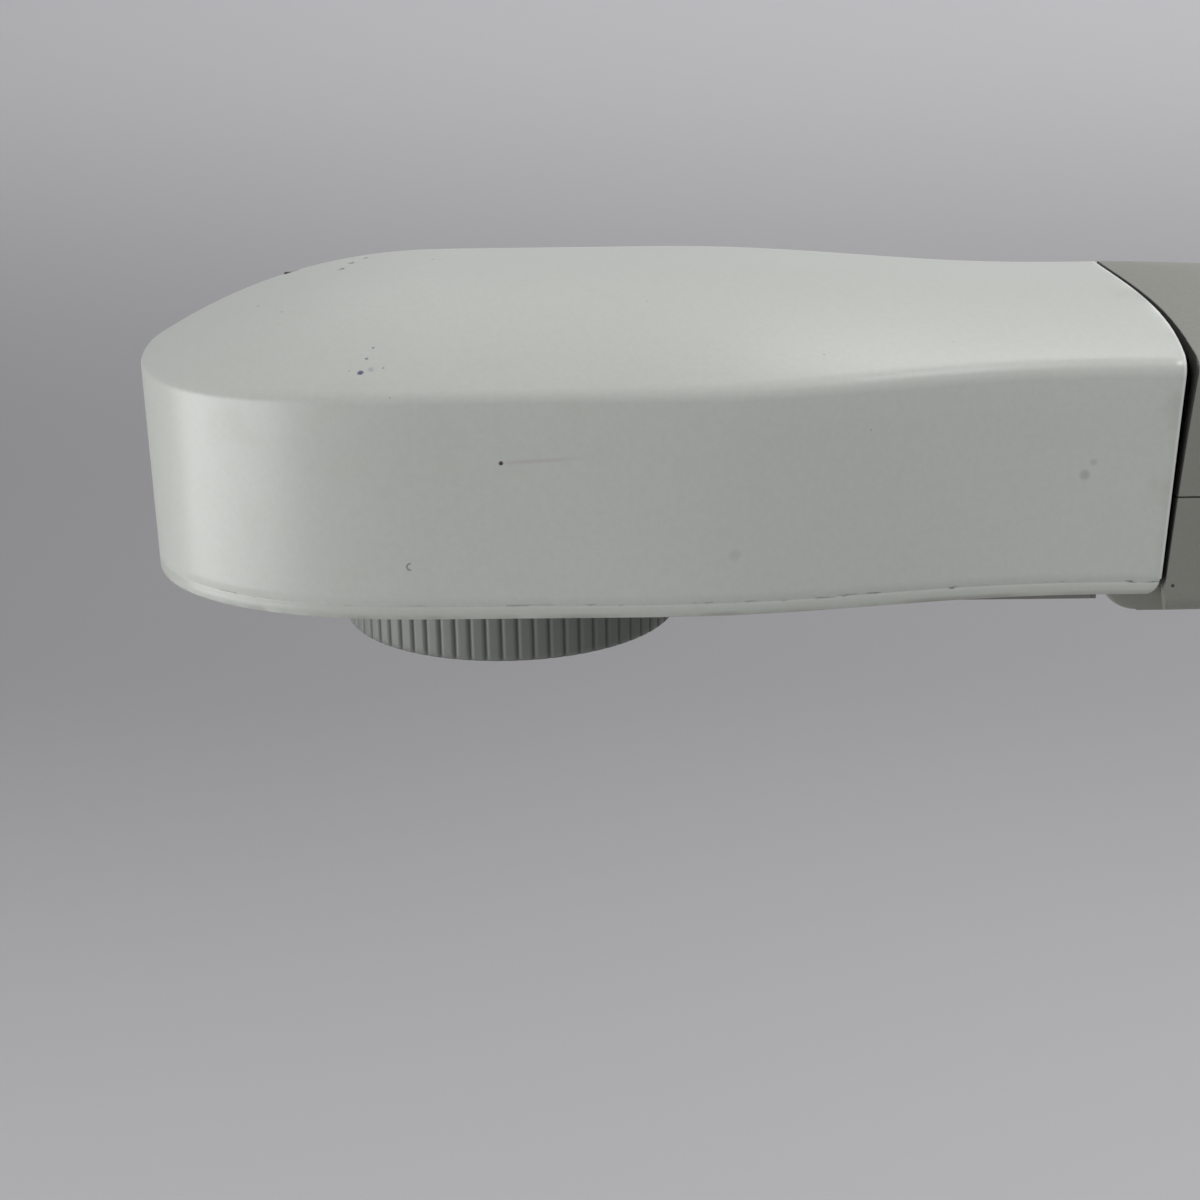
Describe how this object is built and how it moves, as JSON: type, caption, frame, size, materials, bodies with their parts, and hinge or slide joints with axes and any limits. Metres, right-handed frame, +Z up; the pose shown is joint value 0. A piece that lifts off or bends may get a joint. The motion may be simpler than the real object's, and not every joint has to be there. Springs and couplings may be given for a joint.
{
  "type": "document camera",
  "caption": "Document camera: white head with a ribbed lens ring on a grey folding arm, on a weighted base with push buttons and rear sockets.",
  "frame": {"origin": "middle of the bounding box, on the table surface", "axes": "+Z up; the head points towards -X from the arm; the machine's left side is +Y"},
  "size_m": [0.354, 0.26, 0.4621],
  "materials": {
    "white_shell": "fine speckled off-white paint on moulded plastic",
    "grey_shell": "fine textured warm grey plastic",
    "ring_plastic": "satin grey plastic with moulded ribs",
    "dark_plastic": "fine textured dark plastic",
    "black_plastic": "black moulded plastic",
    "frosted_plastic": "frosted diffuser",
    "dark_window": "smooth dark tinted plastic",
    "lens_glass": "coated glass",
    "circuit_board": "green solder resist",
    "steel": "bare steel",
    "zinc": "bright zinc plate",
    "rubber": "matt black rubber"
  },
  "bodies": {
    "base": {"base_top_shell": "white_shell", "base_bottom_plate": "dark_plastic", "ballast_plate": "steel", "arm_bracket": "steel", "counterbalance_spring": "zinc", "left_hinge_cap": "grey_shell", "right_hinge_cap": "grey_shell", "base_main_board": "circuit_board", "socket_board": "circuit_board", "front_left_base_screw": "zinc", "front_right_base_screw": "zinc", "rear_left_base_screw": "zinc", "rear_right_base_screw": "zinc", "front_left_foot": "rubber", "front_right_foot": "rubber", "rear_left_foot": "rubber", "rear_right_foot": "rubber", "power_socket": "black_plastic", "video_out_socket": "black_plastic", "video_in_socket": "black_plastic", "usb_b_socket": "black_plastic", "usb_a_socket": "black_plastic", "infrared_window": "dark_window", "control_panel": "dark_plastic", "button_board": "circuit_board"},
    "arm": {"arm_outer_shell": "grey_shell", "arm_inner_shell": "grey_shell", "arm_channel": "steel", "arm_cable": "dark_plastic", "left_arm_screw": "zinc", "right_arm_screw": "zinc", "arm_hinge_shaft": "steel", "head_hinge_shaft": "steel", "left_friction_washer": "zinc", "right_friction_washer": "zinc"},
    "head": {"head_top_shell": "white_shell", "head_bottom_cover": "grey_shell", "head_frame": "black_plastic", "left_head_screw": "zinc", "right_head_screw": "zinc", "lamp_lens": "frosted_plastic", "lamp_board": "circuit_board", "head_main_board": "circuit_board", "microphone": "zinc", "indicator_light_pipe": "dark_window"},
    "lens_unit": {"rotation_ring": "ring_plastic", "ring_retainer": "dark_plastic", "lens_barrel": "black_plastic", "front_glass": "lens_glass", "lens_cell": "black_plastic", "sensor_board": "circuit_board"},
    "power_key": {"power_button": "white_shell"},
    "source_key": {"source_button": "grey_shell"},
    "lamp_key": {"lamp_button": "grey_shell"},
    "freeze_key": {"freeze_button": "grey_shell"},
    "zoom_out_key": {"zoom_out_button": "grey_shell"},
    "zoom_in_key": {"zoom_in_button": "grey_shell"},
    "focus_key": {"focus_button": "grey_shell"},
    "enter_key": {"enter_button": "grey_shell"},
    "direction_key": {"direction_pad": "grey_shell"}
  },
  "joints": [
    {"name": "arm_fold", "type": "hinge", "parent": "base", "child": "arm", "pos_m": [0.12157, 0, 0.084], "axis": [0, -1, 0], "range_deg": [0, 70]},
    {"name": "head_fold", "type": "hinge", "parent": "arm", "child": "head", "pos_m": [-0.00347, 0, 0.41146], "axis": [0, -1, 0], "range_deg": [0, 100]},
    {"name": "lens_rotation", "type": "hinge", "parent": "head", "child": "lens_unit", "pos_m": [-0.11247, 0, 0.4], "axis": [0, 0, 1], "range_deg": [-90, 90]},
    {"name": "power_press", "type": "slide", "parent": "base", "child": "power_key", "axis": [0.0872, 0, -0.9962], "range_m": [0, 0.0008], "stiffness_N_per_m": 500, "springref_m": -0.0005},
    {"name": "source_press", "type": "slide", "parent": "base", "child": "source_key", "axis": [0.0872, 0, -0.9962], "range_m": [0, 0.0008], "stiffness_N_per_m": 500, "springref_m": -0.0005},
    {"name": "lamp_press", "type": "slide", "parent": "base", "child": "lamp_key", "axis": [0.0872, 0, -0.9962], "range_m": [0, 0.0008], "stiffness_N_per_m": 500, "springref_m": -0.0005},
    {"name": "freeze_press", "type": "slide", "parent": "base", "child": "freeze_key", "axis": [0.0872, 0, -0.9962], "range_m": [0, 0.0008], "stiffness_N_per_m": 500, "springref_m": -0.0005},
    {"name": "zoom_out_press", "type": "slide", "parent": "base", "child": "zoom_out_key", "axis": [0.0872, 0, -0.9962], "range_m": [0, 0.0008], "stiffness_N_per_m": 500, "springref_m": -0.0005},
    {"name": "zoom_in_press", "type": "slide", "parent": "base", "child": "zoom_in_key", "axis": [0.0872, 0, -0.9962], "range_m": [0, 0.0008], "stiffness_N_per_m": 500, "springref_m": -0.0005},
    {"name": "focus_press", "type": "slide", "parent": "base", "child": "focus_key", "axis": [0.0872, 0, -0.9962], "range_m": [0, 0.0008], "stiffness_N_per_m": 500, "springref_m": -0.0005},
    {"name": "enter_press", "type": "slide", "parent": "base", "child": "enter_key", "axis": [0.0872, 0, -0.9962], "range_m": [0, 0.0008], "stiffness_N_per_m": 500, "springref_m": -0.0005},
    {"name": "direction_press", "type": "slide", "parent": "base", "child": "direction_key", "axis": [0.0872, 0, -0.9962], "range_m": [0, 0.0008], "stiffness_N_per_m": 500, "springref_m": -0.0005}
  ]
}
